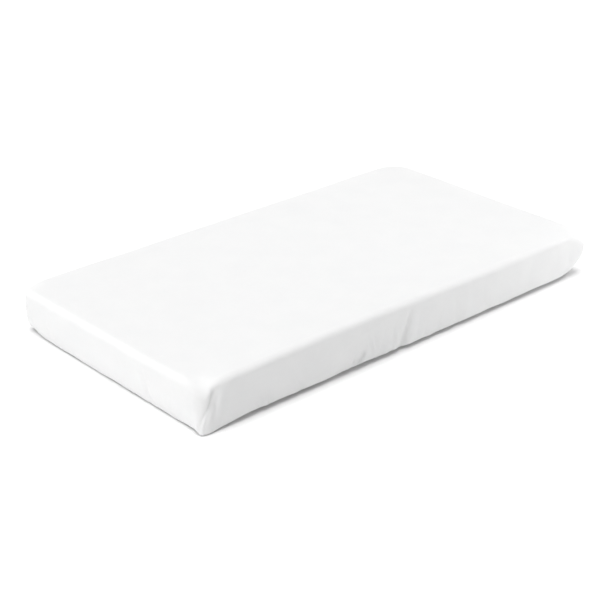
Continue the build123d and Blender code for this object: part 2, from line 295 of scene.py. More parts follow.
def waves(x, lengths, size, seed):
    """A smooth random line: a few sine waves of the given lengths, with seeded phases."""
    phases = np.random.default_rng(seed).uniform(0, TURN, len(lengths))
    total = sum(np.sin(TURN * x / l + p) for l, p in zip(lengths, phases))
    return size * total / math.sqrt(len(lengths))


def lattice_noise(x, y, cell, seed):
    """Smooth random values from -1 to 1 over a plane, from a seeded lattice of the given cell."""
    table = np.random.default_rng(seed).uniform(-1, 1, (LATTICE, LATTICE))
    gx, gy = x / cell, y / cell
    ix, iy = np.floor(gx).astype(int), np.floor(gy).astype(int)
    fx, fy = smooth(gx - ix), smooth(gy - iy)
    left, right = ix % LATTICE, (ix + 1) % LATTICE
    near, far = iy % LATTICE, (iy + 1) % LATTICE
    front = table[left, near] * (1 - fx) + table[right, near] * fx
    back = table[left, far] * (1 - fx) + table[right, far] * fx
    return front * (1 - fy) + back * fy


# Each front crease is where it starts and ends, along the pad and above the floor, how wide it is
# at each end, and how deep, in millimetres. A minus depth is a ridge.
FRONT_CREASES = [
    (-4, 50, -9, 32, 9, 11, 1.2),
    (-11, 40, -20, 14, 11, 15, 5.4),
    (-34, 37, -36, 27, 4.5, 5, -3.2),
    (-38, 24, -43, 7, 7, 9, 1.8),
    (-60, 30, -66, 8, 10, 10, 1.4),
    (-84, 38, -80, 24, 4, 4, -2.0),
    (-93, 28, -106, 14, 3.5, 4, 2.6),
    (-101, 24, -112, 14, 3, 3, -2.2),
    (-118, 20, -122, 7, 5, 6, 1.8),
    (-284, 27, -281, 11, 3, 6, -2.6),
    (-291, 22, -293, 7, 4, 5, 1.6),
    (-225, 26, -216, 8, 11, 12, 1.6),
    (60, 30, 52, 8, 15, 18, 1.6),
    (28, 20, 24, 6, 8, 9, 1.6),
    (90, 34, 96, 8, 18, 24, 1.5),
    (112, 58, 114, 30, 15, 18, -1.1),
    (150, 42, 158, 10, 16, 16, 0.7),
    (232, 66, 236, 18, 16, 16, -0.5),
    (262, 50, 256, 10, 16, 16, 0.5),
    (300, 58, 306, 20, 14, 14, 0.3),
    (334, 62, 330, 16, 14, 16, -0.5),
    (356, 56, 352, 20, 12, 12, 0.8),
    (-338, 52, -356, 22, 16, 18, 1.2),
    (-366, 54, -370, 28, 8, 10, 2.6),
    (-160, 38, -60, 54, 8, 8, -0.8),
    (-250, 58, -190, 30, 16, 18, 0.8),
]


def seeded_creases(half, count, seed):
    """Small creases of the same kind, at seeded places, for a side of the given half length."""
    draw = np.random.default_rng(seed)
    creases = []
    span = half * 0.92
    for start in np.linspace(-span, span, count):
        along = start / MM + draw.uniform(-12, 12)
        top, lean = draw.uniform(22, 56), draw.uniform(-14, 14)
        depth = draw.uniform(0.8, 2.6) * draw.choice([-0.6, 1])
        width = draw.uniform(3, 11)
        creases.append((along, top, along + lean, 7, width * 0.8, width * 1.2, depth))
    return creases


def crease_field(along, height, creases):
    """How far the creases move each point of a side outward, in metres. A crease is a groove
    between two low shoulders, and it fades past its ends."""
    along, height = along / MM, height / MM
    total = np.zeros_like(along)
    for a0, h0, a1, h1, w0, w1, depth in creases:
        length = math.hypot(a1 - a0, h1 - h0)
        run, rise = (a1 - a0) / length, (h1 - h0) / length
        place = (along - a0) * run + (height - h0) * rise
        across = (along - a0) * rise - (height - h0) * run
        t = np.clip(place / length, 0, 1)
        width = w0 + (w1 - w0) * t
        past = np.where(place < 0, -place, np.clip(place - length, 0, None))
        fade = bump(past, 1.2 * width) * (0.55 + 0.45 * smooth(t * 1.5))
        groove = bump(across, 0.5 * width)
        shoulders = bump(np.abs(across) - width, 0.7 * width)
        total -= depth * fade * (groove - 0.3 * shoulders)
    return total * MM


# How each corner differs, from the front left one counter-clockwise, in millimetres: how far its
# top is pulled down and over what width, how far the seam is pushed out at the top and at the floor
# (a minus is inward) and over what reach, and how far its seam leans along the outline at the top.
CORNERS = np.array([
    (18, 24, -5, 3.5, 8, 19),
    (6, 22, 6, -21, 17, 0),
    (7, 22, -3, -8, 14, 0),
    (7, 24, -2, -9, 14, 0),
]) * MM
DROP, DROP_WIDTH, AT_TOP, AT_FLOOR, REACH, LEAN = range(6)

# Where the lower fold stands higher off the floor along the front: place, width and extra height.
FRONT_LIFTS = [(-290, 60, 1.8), (-105, 55, 2.2), (260, 70, 1.0)]


def seam_lean(corner, z):
    """How far a corner's seam has moved along the outline at a height."""
    return CORNERS[corner, LEAN] * np.clip(z / SEAM_TOP, 0, 1) ** LEAN_POWER


def window(values, times, pick):
    """What pick, a minimum or a maximum, makes of the values round every times-th place, up to
    times places away. The columns go round in a ring."""
    padded = np.pad(values, ((times, times), (0, 0)), mode="edge")
    around = [
        np.roll(padded, across, 1)[down : down + len(values)]
        for across in range(-times, times + 1)
        for down in range(2 * times + 1)
    ]
    return pick(around, axis=0)[::times, ::times]


class CoverGrid:
    """The cover's outer face at one fineness, before it is thickened. A coarse grid made from a
    fine one lies behind its grooves, for the layers inside.

    A skirt ring's step says where it is: 0 at the top's rim, then past the rounded edge, down the
    side, round the lower fold, in under the pad, and over the casing to the opening at the last.
    """

    EDGE, SIDE, LOWER, HEM, CASING = 4, 11, 14, 20, 23

    def __init__(self, fineness, fine=None):
        inner_x = HALF_LENGTH - TOP_EDGE_R
        inner_y = HALF_WIDTH - TOP_EDGE_R
        radius = CORNER_R - TOP_EDGE_R
        x_line = refine(graded_line(inner_x, radius, CELL_X), fineness)
        y_line = refine(graded_line(inner_y, radius, CELL_Y), fineness)
        x, y = round_corners(*np.meshgrid(x_line, y_line), inner_x, inner_y, radius)
        self.top = grid3(x, y, np.full_like(x, PAD_HEIGHT))
        self.rim = np.stack([rim_of(x), rim_of(y)], -1)
        core = np.array([inner_x - radius, inner_y - radius])
        self.out = (self.rim - np.clip(self.rim, -core, core)) / radius

        nx, ny = len(x_line) - 1, len(y_line) - 1
        self.side = np.repeat(np.arange(4), [nx, ny, nx, ny])
        edge = self.rim + self.out * TOP_EDGE_R
        step = np.hypot(*(np.roll(edge, -1, 0) - edge).T)
        run = np.concatenate([[0], np.cumsum(step)])
        ends = run[[0, nx, nx + ny, 2 * nx + ny, 2 * (nx + ny)]]
        lengths = np.diff(ends)[self.side]
        self.run = run[:-1]
        self.place = self.side + (self.run - ends[self.side]) / lengths
        part = self.place - self.side
        self.corner = np.round(self.place).astype(int) % 4
        self.past_corner = np.where(part < 0.5, part, part - 1) * lengths
        self.at_foot = (self.side == 3) * smooth(np.abs(self.past_corner) / FOOT_START)
        self.steps = np.arange(self.CASING * fineness + 1) / fineness
        self.skirt = self.lay_skirt()
        self.shape_sides(fine)
        self.shape_return(fine)
        for points in (self.top, self.skirt):
            soften(points)
        self.skirt[0] = np.stack([rim_of(self.top[..., i]) for i in range(3)], -1)
        self.number_points()

    def lay_skirt(self):
        """The skirt's rings with no wrinkle in them."""
        k = self.steps[:, None]
        pointed = CORNERS[self.corner, AT_FLOOR] > 0
        near = np.where(pointed, TIP_ROUNDING, 1) * bump(self.past_corner, CORNER_REACH)[None]
        tip_width = np.where(self.past_corner > 0, *TIP_WIDTHS)
        tip = np.where(pointed, bump(self.past_corner, tip_width), 0)[None]
        fold_r = FOLD_R + (CORNER_FOLD_R - FOLD_R) * near - TIP_SHARPENING * tip
        lift = EDGE_LIFT + waves(self.run, (170 * MM, 97 * MM, 53 * MM), 0.45 * MM, 11)
        for place, width, extra in FRONT_LIFTS:
            lift += (self.side == 0) * extra * MM * bump(self.rim[:, 0] / MM - place, width)
        lift = lift - FOOT_DROP * self.at_foot
        lift = lift[None] * (1 - near) + CORNER_LIFT * near - TIP_DROP * tip
        turn = np.clip(k / self.EDGE, 0, 1) * math.pi / 2
        down = np.clip((k - self.EDGE) / (self.SIDE - self.EDGE), 0, 1)
        tuck = np.clip((k - self.SIDE) / (self.LOWER - self.SIDE), 0, 1) * math.pi / 2
        under = np.clip((k - self.LOWER) / (self.CASING - self.LOWER), 0, 1)

        out = TOP_EDGE_R * np.sin(turn) - fold_r * (1 - np.cos(tuck))
        z = PAD_HEIGHT - TOP_EDGE_R * (1 - np.cos(turn))
        z = z - down * (PAD_HEIGHT - TOP_EDGE_R - lift - fold_r) - fold_r * np.sin(tuck)
        settle = smooth((under - SETTLE_START) * SETTLE_RATE)
        z = z * (1 - settle) + RETURN_LOW * settle
        xy = self.rim[None] + self.out[None] * out[..., None]
        hem = np.stack(hem_points(self.place, *HEM_OUTLINE), -1)
        xy = xy + (hem[None] - xy) * under[..., None]
        return np.concatenate([xy, z[..., None]], -1)

    def shape_sides(self, fine):
        """Creases, leans and the corner seams, as moves outward or inward."""
        k = self.steps[:, None]
        x, y, z = (self.skirt[..., i] for i in range(3))
        creases = [
            FRONT_CREASES,
            seeded_creases(HALF_WIDTH, 9, 21),
            seeded_creases(HALF_LENGTH, 17, 22),
            seeded_creases(HALF_WIDTH, 8, 23),
        ]
        field = np.zeros_like(z)
        for side, along in enumerate((x, y, -x, -y)):
            field += (self.side == side)[None] * crease_field(along, z, creases[side])
        field += SIDE_BULGE * bump(z - 0.5 * PAD_HEIGHT, 0.5 * PAD_HEIGHT)
        field += lattice_noise(self.run[None] + 0 * z, z, SIDE_LUMP_CELL, 8) * SIDE_LUMP
        headward = smooth((x - HEAD_START) / HEAD_SPAN) * (self.side == 0)[None]
        high = np.clip((z - HEAD_LEAN_LOW) / HEAD_LEAN_RISE, 0, 1)
        field -= HEAD_LEAN * headward * high**HEAD_LEAN_POWER
        field -= FOOT_LEAN * self.at_foot[None] * np.clip(1 - z / FOOT_LEAN_TOP, 0, 1)

        # The corner seam is pushed in or out, and its ridges and grooves take over from the creases
        corners = CORNERS[self.corner]
        at_top, at_floor, reach = (corners[None, :, i] for i in (AT_TOP, AT_FLOOR, REACH))
        low = 1 - np.clip(z / SEAM_TOP, 0, 1)
        from_seam = self.past_corner[None] - seam_lean(self.corner[None], z)
        softness = np.where(at_floor < 0, *PUSH_SOFTNESS)
        away = np.hypot(from_seam, softness) - softness
        bend = np.where(at_floor < 0, *PUSH_BEND)
        push = (at_top + (at_floor - at_top) * low**bend) * np.exp(-away / reach)
        profile = sum(
            height * MM * bump(from_seam - beside * MM, width * MM)
            for height, beside, width in SEAM_PROFILE
        )
        puckers = PUCKER * np.sin(TURN * z / PUCKER_LENGTH)
        puckers = puckers * bump(np.abs(from_seam) - 7 * MM, 5 * MM)
        field = field * (1 - bump(from_seam, 13 * MM)) * (1 - 0.8 * smooth((k - self.SIDE) / 3))
        field += (profile + puckers) * smooth((z - 2 * MM) / (6 * MM))

        below_rim = smooth((k - 0.5) / self.EDGE)
        turned_in = np.clip((k - self.LOWER) / (self.HEM - self.LOWER), 0, 1)
        field = field * below_rim * (1 - smooth((k - self.LOWER) / 3))
        field = field + push * below_rim * (1 - smooth(turned_in))
        self.field = window(fine.field, FINE, np.min) if fine else field
        self.skirt[..., :2] += self.out[None] * self.field[..., None]

    def shape_return(self, fine):
        """The hem's gathers: folds that grow as the elastic draws the cloth in."""
        k = self.steps[:, None]
        inward = np.clip((k - self.LOWER - 0.5) / (self.HEM - self.LOWER - 0.5), 0, 1)
        phase = TURN * self.run / GATHER_LENGTH
        phase = phase + waves(self.run, (61 * MM, 140 * MM, 37 * MM), 1.3, 31)
        size = GATHER_SIZE + waves(self.run, (90 * MM, 230 * MM), 0.2, 32)
        size = size + 0.25 * bump(self.past_corner, 45 * MM)
        size = np.clip(size, GATHER_LEAST, GATHER_MOST) * MM
        folds = size[None] * smooth(inward) * (1 + np.sin(phase))[None]
        on_casing = np.clip((k - self.HEM) / (self.CASING - self.HEM), 0, 1)
        folds = folds * (1 - 0.75 * smooth(on_casing * 3))
        self.folds = window(fine.folds, FINE, np.max) if fine else folds
        self.skirt[..., 2] += self.folds

    def number_points(self):
        """The points in one list, the numbers of the top's and each ring's points in it, the
        quads between them, and the normals."""
        rows, columns = self.top.shape[:2]
        self.number = np.arange(rows * columns).reshape(rows, columns)
        count = len(self.rim)
        later = rows * columns + np.arange((len(self.steps) - 1) * count).reshape(-1, count)
        self.rings = np.concatenate([rim_of(self.number)[None], later])
        self.faces = self.cap_faces(len(self.steps))
        self.points = np.concatenate([self.top.reshape(-1, 3), self.skirt[1:].reshape(-1, 3)])
        self.normals = vertex_normals(self.points, self.faces)

    def cap_faces(self, rings):
        """The quads of the top and of the first so many rings."""
        return np.concatenate([quads(self.number)[:, ::-1], quads(self.rings[:rings], True)])

    def cap(self, last):
        """The top with the rings up to the last one: its points' numbers, and its quads and its
        last ring as places among them."""
        numbers = np.concatenate([self.number.ravel(), self.rings[1 : last + 1].ravel()])
        place = np.full(len(self.points), -1)
        place[numbers] = np.arange(len(numbers))
        return numbers, place[self.cap_faces(last + 1)], place[self.rings[last]]

    def at(self, depth, numbers):
        """The numbered points, moved inward by a depth."""
        return self.points[numbers] - self.normals[numbers] * depth


def soften(points):
    """Crown, lumps and pulled-down corners of the cover. What lies inside is made from it."""
    x, y, z = (points[..., i].copy() for i in range(3))
    high = smooth((z - 10 * MM) / (PAD_HEIGHT - 20 * MM))
    gap_x = np.clip(HALF_LENGTH - np.abs(x), 0, None)
    gap_y = np.clip(HALF_WIDTH - np.abs(y), 0, None)
    corner = np.where(y < 0, np.where(x < 0, 0, 1), np.where(x < 0, 3, 2))
    drop = CORNERS[corner, DROP]
    pull = bump(np.hypot(gap_x, gap_y), CORNERS[corner, DROP_WIDTH])
    crown = np.clip(1 - (x / HALF_LENGTH) ** 4, 0, 1) * np.clip(1 - (y / HALF_WIDTH) ** 4, 0, 1)
    lumps = sum(lattice_noise(x, y, cell, seed) * size for cell, size, seed in TOP_LUMPS)
    bow = FRONT_BOW + FOOTWARD_BOW * bump(x - FOOTWARD_BOW_PLACE, FOOTWARD_BOW_WIDTH)
    bow = bow * bump(gap_y, FRONT_BOW_WIDTH)
    sink = HEAD_SINK * smooth((x - HEAD_SINK_START) / HEAD_SINK_SPAN)
    bow = (bow - sink * bump(gap_y, HEAD_SINK_WIDTH)) * (y < 0)
    points[..., 2] = z + high * (crown * CROWN + lumps + bow - drop * pull)
    points[..., 0] -= np.sign(x) * CORNER_PULL[0] * drop * pull * high
    points[..., 1] -= np.sign(y) * CORNER_PULL[1] * drop * pull * high


# ---- meshes


def mesh_from(name, points, faces):
    mesh = bpy.data.meshes.new(name)
    mesh.from_pydata(np.asarray(points, float).tolist(), [], [tuple(map(int, f)) for f in faces])
    mesh.validate()
    mesh.shade_smooth()
    return mesh


def new_piece(name, points, faces, material, slot, replaces=None):
    """A piece from points and faces, riding on the pad, in place of a CAD node."""
    mesh = mesh_from(name, points, faces)
    mesh.materials.append(material)
    piece = add(name, mesh)
    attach(piece, "pad")
    if replaces:
        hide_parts(replaces)
    return piece


def keep_cloth(piece, *grids):
    """Keeps each vertex's place on its cloth, for a material's Attribute node to read."""
    attribute = piece.data.attributes.new("cloth", "FLOAT_VECTOR", "POINT")
    values = np.concatenate([grid.reshape(-1, 3) for grid in grids])
    attribute.data.foreach_set("vector", values.astype(np.float32).ravel())


def quads(numbers, wrap=False):
    """Quads over a grid of vertex numbers. With wrap, the last column joins the first."""
    if wrap:
        numbers = np.column_stack([numbers, numbers[:, 0]])
    return np.stack([
        numbers[:-1, :-1], numbers[1:, :-1], numbers[1:, 1:], numbers[:-1, 1:],
    ], -1).reshape(-1, 4)


def thick_grid(upper, lower, wrap=False):
    """A closed shell between two grids of points, the upper one facing up or outward."""
    rows, columns = upper.shape[:2]
    top = np.arange(rows * columns).reshape(rows, columns)
    base = top + rows * columns
    faces = [quads(top, wrap), quads(base, wrap)[:, ::-1]]
    if wrap:
        edges = [(top[0][::-1], base[0][::-1]), (top[-1], base[-1])]
    else:
        edges = [(rim_of(top)[::-1], rim_of(base)[::-1])]
    for a, b in edges:
        faces.append(quads(np.stack([a, b]), True))
    points = np.concatenate([upper.reshape(-1, 3), lower.reshape(-1, 3)])
    return points, np.concatenate(faces)


def flat_cloth(grid):
    """Where each point is on the cloth before sewing: the top's own x and y, and the skirt folded
    out."""
    spacing = np.linalg.norm(np.diff(grid.skirt, axis=0), axis=-1).mean(1)
    spread = np.concatenate([[0], np.cumsum(spacing)])
    skirt = grid.rim[None] + grid.out[None] * spread[:, None, None]
    flat = np.concatenate([grid.top[..., :2].reshape(-1, 2), skirt[1:].reshape(-1, 2)])
    return np.column_stack([flat, np.zeros(len(flat))])


def vertex_normals(points, faces):
    """The smooth normals that Blender gives to a mesh of these points and faces."""
    mesh = mesh_from("normals", points, faces)
    normals = np.zeros(len(points) * 3, np.float32)
    mesh.vertices.foreach_get("normal", normals)
    bpy.data.meshes.remove(mesh)
    return normals.reshape(-1, 3)


STITCH_LENGTH = 2.2 * MM
STITCH_R = 0.22 * MM
STITCH_LIFT = 0.05 * MM
STITCH_PROFILE = [(-0.5, 0.25), (-0.38, 0.85), (0, 1.0), (0.38, 0.85), (0.5, 0.25)]
THREAD_SIDES = 6


def make_stitches(name, places, ups, runs, material, replaces=None):
    """A piece of short rounded threads, lying at places on a surface with normals ups, along runs.
    The profile is each ring's place along a stitch, and its width."""
    ups = ups / np.linalg.norm(ups, axis=1)[:, None]
    runs = runs - ups * (runs * ups).sum(1)[:, None]
    runs = runs / np.linalg.norm(runs, axis=1)[:, None]
    sides = np.cross(runs, ups)
    places = places + ups * STITCH_LIFT
    points = []
    for along, wide in STITCH_PROFILE:
        arch = 0.5 * STITCH_R * (1 - (2 * along) ** 2)
        for turn in np.linspace(0, TURN, THREAD_SIDES, endpoint=False):
            across, up = (wide * STITCH_R * f(turn) for f in (math.cos, math.sin))
            points.append(
                places + runs * along * STITCH_LENGTH + sides * across + ups * (up + arch)
            )
    points = np.stack(points, 1)
    numbers = np.arange(points.shape[1]).reshape(-1, THREAD_SIDES)
    one = [*quads(numbers, True).tolist(), numbers[0][::-1].tolist(), numbers[-1].tolist()]
    faces = [
        [v + index * numbers.size for v in face] for index in range(len(places)) for face in one
    ]
    return new_piece(name, points.reshape(-1, 3), faces, material, "cover_cloth", replaces)


# ---- cover


def make_cover(outer, inner, material):
    """The fitted cover: its outer face, a coarser inner face, and the fold of the hem between
    them."""
    thick = np.full(len(inner.points), CLOTH_T)
    thick[inner.rings[CoverGrid.HEM :].ravel()] = CASING_T
    lining = inner.points - inner.normals * thick[:, None]
    start, count = len(outer.points), len(inner.rim)
    hem = []
    for j in range(count):
        fine = [outer.rings[-1, (j * FINE + i) % (count * FINE)] for i in range(FINE + 1)]
        coarse = [start + inner.rings[-1, (j + 1) % count], start + inner.rings[-1, j]]
        hem.append([*fine[::-1], *coarse[::-1]])
    faces = [*outer.faces, *(inner.faces[:, ::-1] + start), *hem]
    points = np.concatenate([outer.points, lining])
    cover = new_piece("cover", points, faces, material, "cover_cloth", "fitted_cover")
    keep_cloth(cover, flat_cloth(outer), flat_cloth(inner))
    return cover


SEAM_STITCH_ROWS = (-6.5 * MM, 8 * MM)
SEAM_STITCH_HEIGHTS = np.arange(14 * MM, 54 * MM, 3.3 * MM)
HEM_STITCH_PITCH = 3.4 * MM
ELASTIC_DEPTHS = (0.4 * MM, 1.1 * MM)


def make_seams(outer, material):
    """Two rows of topstitching beside each corner seam, and one row round the hem's casing."""
    skirt, normals = outer.points[outer.rings], outer.normals[outer.rings]
    heights = skirt[: CoverGrid.LOWER * FINE, :, 2]
    at = []
    for corner in range(4):
        for beside in SEAM_STITCH_ROWS:
            for z in SEAM_STITCH_HEIGHTS:
                gap = np.abs(outer.past_corner - seam_lean(corner, z) - beside)
                column = np.argmin(np.where(outer.corner == corner, gap, 1))
                at.append((np.argmin(np.abs(heights[:, column] - z)), column))
    row, column = np.transpose(at)
    seams = make_stitches(
        "cover_corner_stitches", skirt[row, column], normals[row, column],
        skirt[row + 1, column] - skirt[row, column], material, "cover_corner_seams",
    )
    ring = CoverGrid.HEM * FINE
    spaced = np.arange(0, outer.run[-1], HEM_STITCH_PITCH)
    columns = np.unique(np.searchsorted(outer.run, spaced) % len(outer.rim))
    ahead = np.roll(skirt[ring], -1, 0) - skirt[ring]
    hem = make_stitches(
        "hem_stitches", skirt[ring][columns], normals[ring][columns], ahead[columns], material
    )
    return seams, hem


def make_elastic(inner, material):
    """The hem's elastic, a flat band that follows the middle of the casing."""
    low = np.arange(CoverGrid.HEM, CoverGrid.CASING)
    middle, up = (
        (values[inner.rings[low]] + values[inner.rings[low + 1]]) / 2
        for values in (inner.points, inner.normals)
    )
    shell = thick_grid(*(middle - up * depth for depth in ELASTIC_DEPTHS), True)
    new_piece("elastic_band", *shell, material, "elastic", "hem_elastic")


# ---- inner case and foam

# How deep the case and the foam lie in the cover, the valley over the zip and its slot, and how far
# the underside rises at its edges, for the hem
CASE_DEPTH = CLOTH_T + 0.35 * MM
CASE_T = 0.8 * MM
FOAM_DEPTH = CASE_DEPTH + CASE_T + 0.25 * MM
CASE_LOW = 2.3 * MM
BOTTOM_INSET = 24 * MM
VALLEY_HALF = (308 * MM, 17 * MM)
VALLEY_SLOPE = 14 * MM
VALLEY_DEPTH = 2.6 * MM
SLOT_HALF_LENGTH = 284 * MM
SLOT_HALF_WIDTH = 6 * MM
EDGE_RISE = 3.6 * MM
EDGE_RISE_INSET = 20 * MM
EDGE_RISE_REACH = 26 * MM
PANEL_CORNER_R = 22 * MM
PANEL_GAP = 0.02 * MM
PANEL_STRIP = 40 * MM
FOAM_GAP = 0.3 * MM
FOAM_INSET = BOTTOM_INSET + 8 * MM
CHAIN_ROOM = (SLOT_HALF_LENGTH + 16 * MM, 20 * MM, 2.6 * MM)


def underside(x, y):
    """Height of the case's underside: flat, rising to its edges, with a shallow valley over the
    zip and slight ripples."""
    outside = np.maximum(np.abs(x) - VALLEY_HALF[0], np.abs(y) - VALLEY_HALF[1])
    flat_part = smooth(outside / VALLEY_SLOPE)
    ripple = 0.16 * MM * (lattice_noise(x, y, 23 * MM, 41) + 0.8 * lattice_noise(x, y, 58 * MM, 42))
    pucker = 0.12 * MM * np.sin(TURN * x / (9 * MM)) * bump(np.abs(y) - 16 * MM, 5 * MM)
    inset = np.minimum(HALF_LENGTH - np.abs(x), HALF_WIDTH - np.abs(y))
    edge = EDGE_RISE * (1 - smooth((inset - EDGE_RISE_INSET) / EDGE_RISE_REACH))
    return CASE_LOW + VALLEY_DEPTH * (1 - flat_part) + ripple * flat_part + pucker + edge


def make_case(inner, material):
    """The inner case: top panel, boxing and two bottom panels, as shells under the cover."""
    inside = CASE_DEPTH + CASE_T
    numbers, faces, last = inner.cap(CoverGrid.EDGE)
    count = len(numbers)
    edge = quads(np.stack([last, last + count]), True)
    top = new_piece(
        "case_top",
        np.concatenate([inner.at(CASE_DEPTH, numbers), inner.at(inside, numbers)]),
        np.concatenate([faces, faces[:, ::-1] + count, edge]),
        material, "case_cloth", "case_top_panel",
    )
    band = inner.rings[CoverGrid.EDGE : CoverGrid.LOWER + 3]
    boxing = new_piece(
        "case_band", *thick_grid(inner.at(CASE_DEPTH, band), inner.at(inside, band), True),
        material, "case_cloth", "case_boxing",
    )
    panels = [make_bottom_panel(name, side, material) for name, side in SIDES]
    return top, boxing, panels


def make_bottom_panel(name, side, material):
    """One half of the underside, from the middle seam and the zip's slot out to the boxing. Its
    rows are closer in a strip beside the zip."""
    half_x = HALF_LENGTH - BOTTOM_INSET
    half_y = HALF_WIDTH - BOTTOM_INSET
    y_line = np.concatenate([
        np.linspace(0, PANEL_STRIP, 17), np.linspace(PANEL_STRIP, half_y, 34)[1:],
    ])[:, None]
    beyond = np.clip(y_line - (half_y - PANEL_CORNER_R), 0, PANEL_CORNER_R)
    reach = half_x - PANEL_CORNER_R + np.sqrt(PANEL_CORNER_R**2 - beyond**2)
    x = np.linspace(-1, 1, 241)[None] * reach
    in_slot = np.abs(x) < SLOT_HALF_LENGTH
    share = np.clip(1 - y_line / PANEL_STRIP, 0, 1)
    y = y_line + SLOT_HALF_WIDTH * share * in_slot + PANEL_GAP
    z = underside(x, y)
    hem = 0.35 * MM * bump(y - SLOT_HALF_WIDTH - 1.2 * MM, 1.0 * MM) * in_slot
    low = grid3(x, y * side, z - hem)
    high = grid3(x, y * side, z + CASE_T)
    if side > 0:
        low, high = low[:, ::-1], high[:, ::-1]
    return new_piece(
        "case_underside_" + name, *thick_grid(high, low), material, "case_cloth",
        "case_bottom_" + name,
    )


def make_foam(inner, material):
    """One foam block that fills the case, with the valley pressed into its underside."""
    numbers, outside, last = inner.cap(CoverGrid.LOWER)
    upper = inner.at(FOAM_DEPTH, numbers)
    flat = inner.points[inner.number.ravel()]
    x = flat[:, 0] * (HALF_LENGTH - FOAM_INSET) / (HALF_LENGTH - TOP_EDGE_R)
    y = flat[:, 1] * (HALF_WIDTH - FOAM_INSET) / (HALF_WIDTH - TOP_EDGE_R)
    room_x, room_y, room_z = CHAIN_ROOM
    chain = (np.abs(x) < room_x) & (np.abs(y) < room_y)
    z = underside(x, y) + CASE_T + FOAM_GAP + room_z * chain
    base = len(upper) + inner.number
    bridge = quads(np.stack([last, rim_of(base)]), True)
    return new_piece(
        "foam_block", np.concatenate([upper, grid3(x, y, z)]),
        np.concatenate([outside, quads(base), bridge]), material, "foam", "foam_core",
    )


# ---- underside trims and zip

# The dots' rows and spacing, how they are rounded (radius and depth, in millimetres), and the depth
# of their tips
DOT_ROWS = (-108 * MM, -76 * MM, -44 * MM, 44 * MM, 76 * MM, 108 * MM)
DOT_PITCH, DOT_COLUMNS, DOT_SIDES = 32 * MM, 20, 20
DOT_PROFILE = [
    (3.15, 0), (3.1, 0.12), (2.95, 0.3), (2.8, 0.9), (2.45, 1.45), (1.8, 1.85), (0.9, 2.05),
]
DOT_TIP = 2.12 * MM
LABEL_T = 0.35 * MM
TAPE_RIB = 1.6 * MM
COIL_PITCH = 1.5 * MM
COIL_WIRE_R = 0.36 * MM
COIL_TURN_POINTS = 10
COIL_WIRE_SIDES = 6
COIL_SQUARENESS = 0.75
END_TAB_LENGTH = 18 * MM
END_TAB_CORNER = 1.5 * MM


def make_dots(material):
    """Domed rubber dots, where the CAD grip dots are, each with a thin flash round its foot."""
    turns = np.linspace(0, TURN, DOT_SIDES, endpoint=False)
    profile = np.array(DOT_PROFILE)[:, None] * MM
    across, along = (profile[..., 0] * f(turns) for f in (np.cos, np.sin))
    shape = grid3(across, along, -profile[..., 1] + 0 * across).reshape(-1, 3)
    numbers = np.arange(len(shape)).reshape(-1, DOT_SIDES)
    tip = len(shape)
    one = quads(numbers, True).tolist()
    one += [[numbers[-1][(i + 1) % DOT_SIDES], numbers[-1][i], tip] for i in range(DOT_SIDES)]
    one += [numbers[0].tolist()]
    points, faces = [], []
    draw = np.random.default_rng(17)
    for column in range(DOT_COLUMNS):
        for y in DOT_ROWS:
            x = (column - (DOT_COLUMNS - 1) / 2) * DOT_PITCH
            foot = np.array([x, y, underside(np.array(x), np.array(y)) + 0.03 * MM])
            wide = draw.uniform(0.95, 1.02)
            faces += [[v + len(points) for v in f[::-1]] for f in one]
            points += [*(foot + shape * (wide, wide, 1)), foot - (0, 0, DOT_TIP)]
    return new_piece("dots", points, faces, material, "grip_rubber", "grip_dots")


def make_label(name, centre, size, height, material, replaces, curl):
    """A small woven label, with a slight curl down at its ends and frayed long edges."""
    x_line = np.linspace(-0.5, 0.5, 41) * size[0]
    y_line = np.linspace(-0.5, 0.5, 21) * size[1]
    x, y = np.meshgrid(x_line, y_line)
    u, v = x / size[0], y / size[1]
    frayed = 0.12 * MM * np.sin(TURN * x / (1.7 * MM)) * (np.abs(v) > 0.49)
    z = height(x + centre[0], y + centre[1]) - curl * np.clip(np.abs(u) * 2 - 0.55, 0, 1) ** 2
    z = z - 0.08 * MM * np.sin(9 * u + 4 * v)
    upper = grid3(x + centre[0], y + centre[1] + frayed, z)
    lower = upper - np.array([0, 0, LABEL_T])
    label = new_piece(name, *thick_grid(upper, lower), material, "label_cloth", replaces)
    keep_cloth(label, upper, lower)
    return label


def zip_side(node):
    """The box of a zip node on one side: its low and high corners, and its two distances from the
    zip's middle line."""
    low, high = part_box(node)
    return low, high, *sorted((abs(low.y), abs(high.y)))


def make_tapes(material):
    """The two woven zip tapes, with fine ribs along them and a slight sag towards the sewing."""
    tapes = []
    for name, side in SIDES:
        low, high, inner_y, outer_y = zip_side("zip_tape_" + name)
        x, y = np.meshgrid(np.linspace(low.x, high.x, 293), np.linspace(inner_y, outer_y, 19))
        rib = 0.05 * MM * np.cos(TURN * (y - inner_y) / TAPE_RIB)
        sag = 0.06 * MM * np.sin(TURN * x / (7 * MM)) * smooth((y - inner_y) / (8 * MM))
        top = grid3(x, y * side, high.z + rib * 0.5 + sag)
        base = grid3(x, y * side, low.z - rib + sag)
        if side < 0:
            top, base = top[:, ::-1], base[:, ::-1]
        tapes.append(new_piece(
            "tape_" + name, *thick_grid(base, top), material, "zip_tape", "zip_tape_" + name,
        ))
    return tapes


